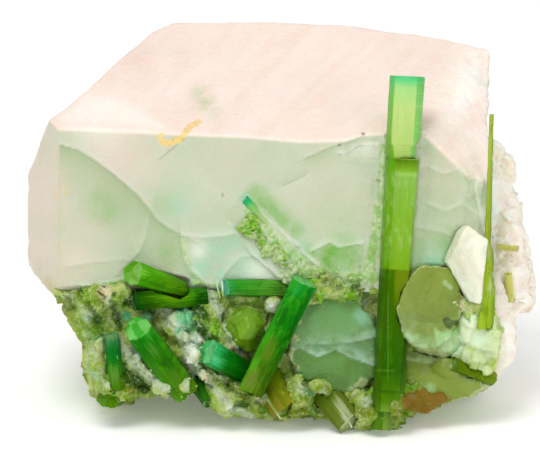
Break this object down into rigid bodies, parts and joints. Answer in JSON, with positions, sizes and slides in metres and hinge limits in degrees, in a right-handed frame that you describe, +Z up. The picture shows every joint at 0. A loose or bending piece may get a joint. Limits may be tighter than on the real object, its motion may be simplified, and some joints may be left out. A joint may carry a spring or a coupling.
{
  "type": "tourmaline on quartz",
  "caption": "Hand specimen: slender green tourmaline prisms grown on and along the foot of a blocky milky quartz crystal, with glassy quartz grains and crumbly matrix between them.",
  "frame": {"origin": "middle of the whole specimen's box on the plane it stands on", "axes": "+Z up; +X to the right along the big quartz crystal's front face, which faces -Y and leans back 15 degrees from upright"},
  "size_m": [0.0926, 0.0586, 0.0635],
  "materials": {
    "milky_quartz": "milky, greasy to glassy lustre, partly translucent",
    "green_tinted_quartz": "glassy broken faces, tinted by the green crystals behind",
    "green_tourmaline": "vitreous, translucent, striated along its length, teal at the tips",
    "crumbly_matrix": "dull, granular, pale crust over fine green crystals"
  },
  "bodies": {
    "root": {"matrix": "crumbly_matrix", "quartz_crystal": "milky_quartz", "quartz_shard": "milky_quartz", "quartz_side": "milky_quartz", "quartz_window_centre": "green_tinted_quartz", "quartz_window_lower": "green_tinted_quartz", "quartz_window_right": "green_tinted_quartz", "quartz_window_side": "green_tinted_quartz", "tourmaline_bright_tip": "green_tourmaline", "tourmaline_crossbar": "green_tourmaline", "tourmaline_dark_foot": "green_tourmaline", "tourmaline_diagonal": "green_tourmaline", "tourmaline_edge_prism": "green_tourmaline", "tourmaline_grain": "green_tourmaline", "tourmaline_leaf": "green_tourmaline", "tourmaline_left_foot": "green_tourmaline", "tourmaline_left_upright": "green_tourmaline", "tourmaline_main": "green_tourmaline", "tourmaline_olive_foot": "green_tourmaline", "tourmaline_right_band": "green_tourmaline", "tourmaline_seam_bar": "green_tourmaline", "tourmaline_side_bar": "green_tourmaline", "tourmaline_side_sprig": "green_tourmaline", "tourmaline_teal_stub": "green_tourmaline", "tourmaline_upper_left": "green_tourmaline", "tourmaline_vein": "green_tourmaline", "vein_crust": "crumbly_matrix"}
  },
  "joints": []
}
